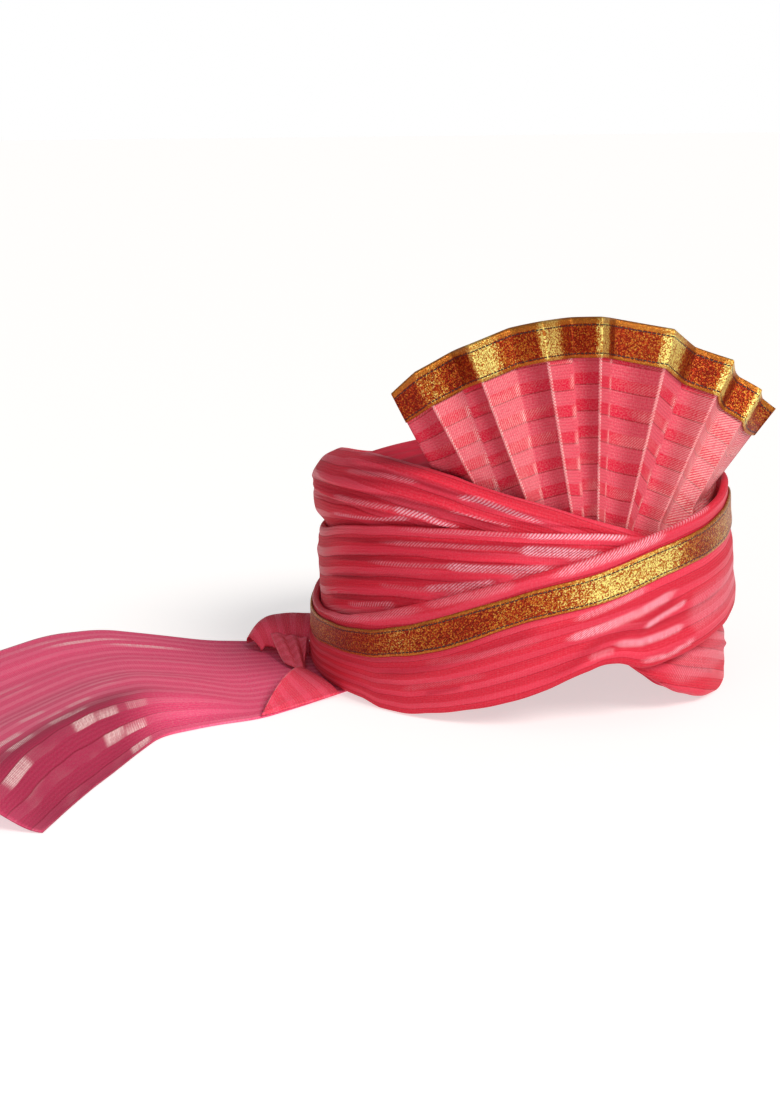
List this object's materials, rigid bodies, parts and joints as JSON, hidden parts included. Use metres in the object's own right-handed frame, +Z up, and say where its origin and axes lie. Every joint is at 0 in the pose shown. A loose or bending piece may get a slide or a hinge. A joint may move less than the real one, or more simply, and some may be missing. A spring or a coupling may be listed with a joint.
{
  "type": "tied turban pagri",
  "caption": "Ready-tied turban with wound striped cloth turns, a gold lace band, a pleated standing fan and a loose tail lying on the surface.",
  "frame": {"origin": "on the surface it rests on, under the middle of the whole with its tail", "axes": "+Z up; the turban's front faces -Y; the tail lies out toward -X, the wearer's right"},
  "size_m": [0.532, 0.328, 0.1913],
  "materials": {
    "turban_cloth": "thin striped georgette, satin stripes between matte ones, soft sheen",
    "crown_cloth": "plain thin cloth, matte",
    "fan_cloth": "starched striped georgette with pressed pleats",
    "tail_cloth": "thin striped georgette, slightly see-through",
    "gold_lace": "woven metallic lace, glittering, with dark stitch lines"
  },
  "bodies": {
    "root": {"crown_cloth": "crown_cloth", "wound_core": "turban_cloth", "base_turn": "turban_cloth", "top_turn": "turban_cloth", "middle_turn": "turban_cloth", "outer_turn": "turban_cloth", "lace_band": "gold_lace", "fan": "fan_cloth", "fan_lace": "gold_lace", "tail": "tail_cloth", "tail_roll": "tail_cloth", "tail_flap": "tail_cloth"}
  },
  "joints": []
}
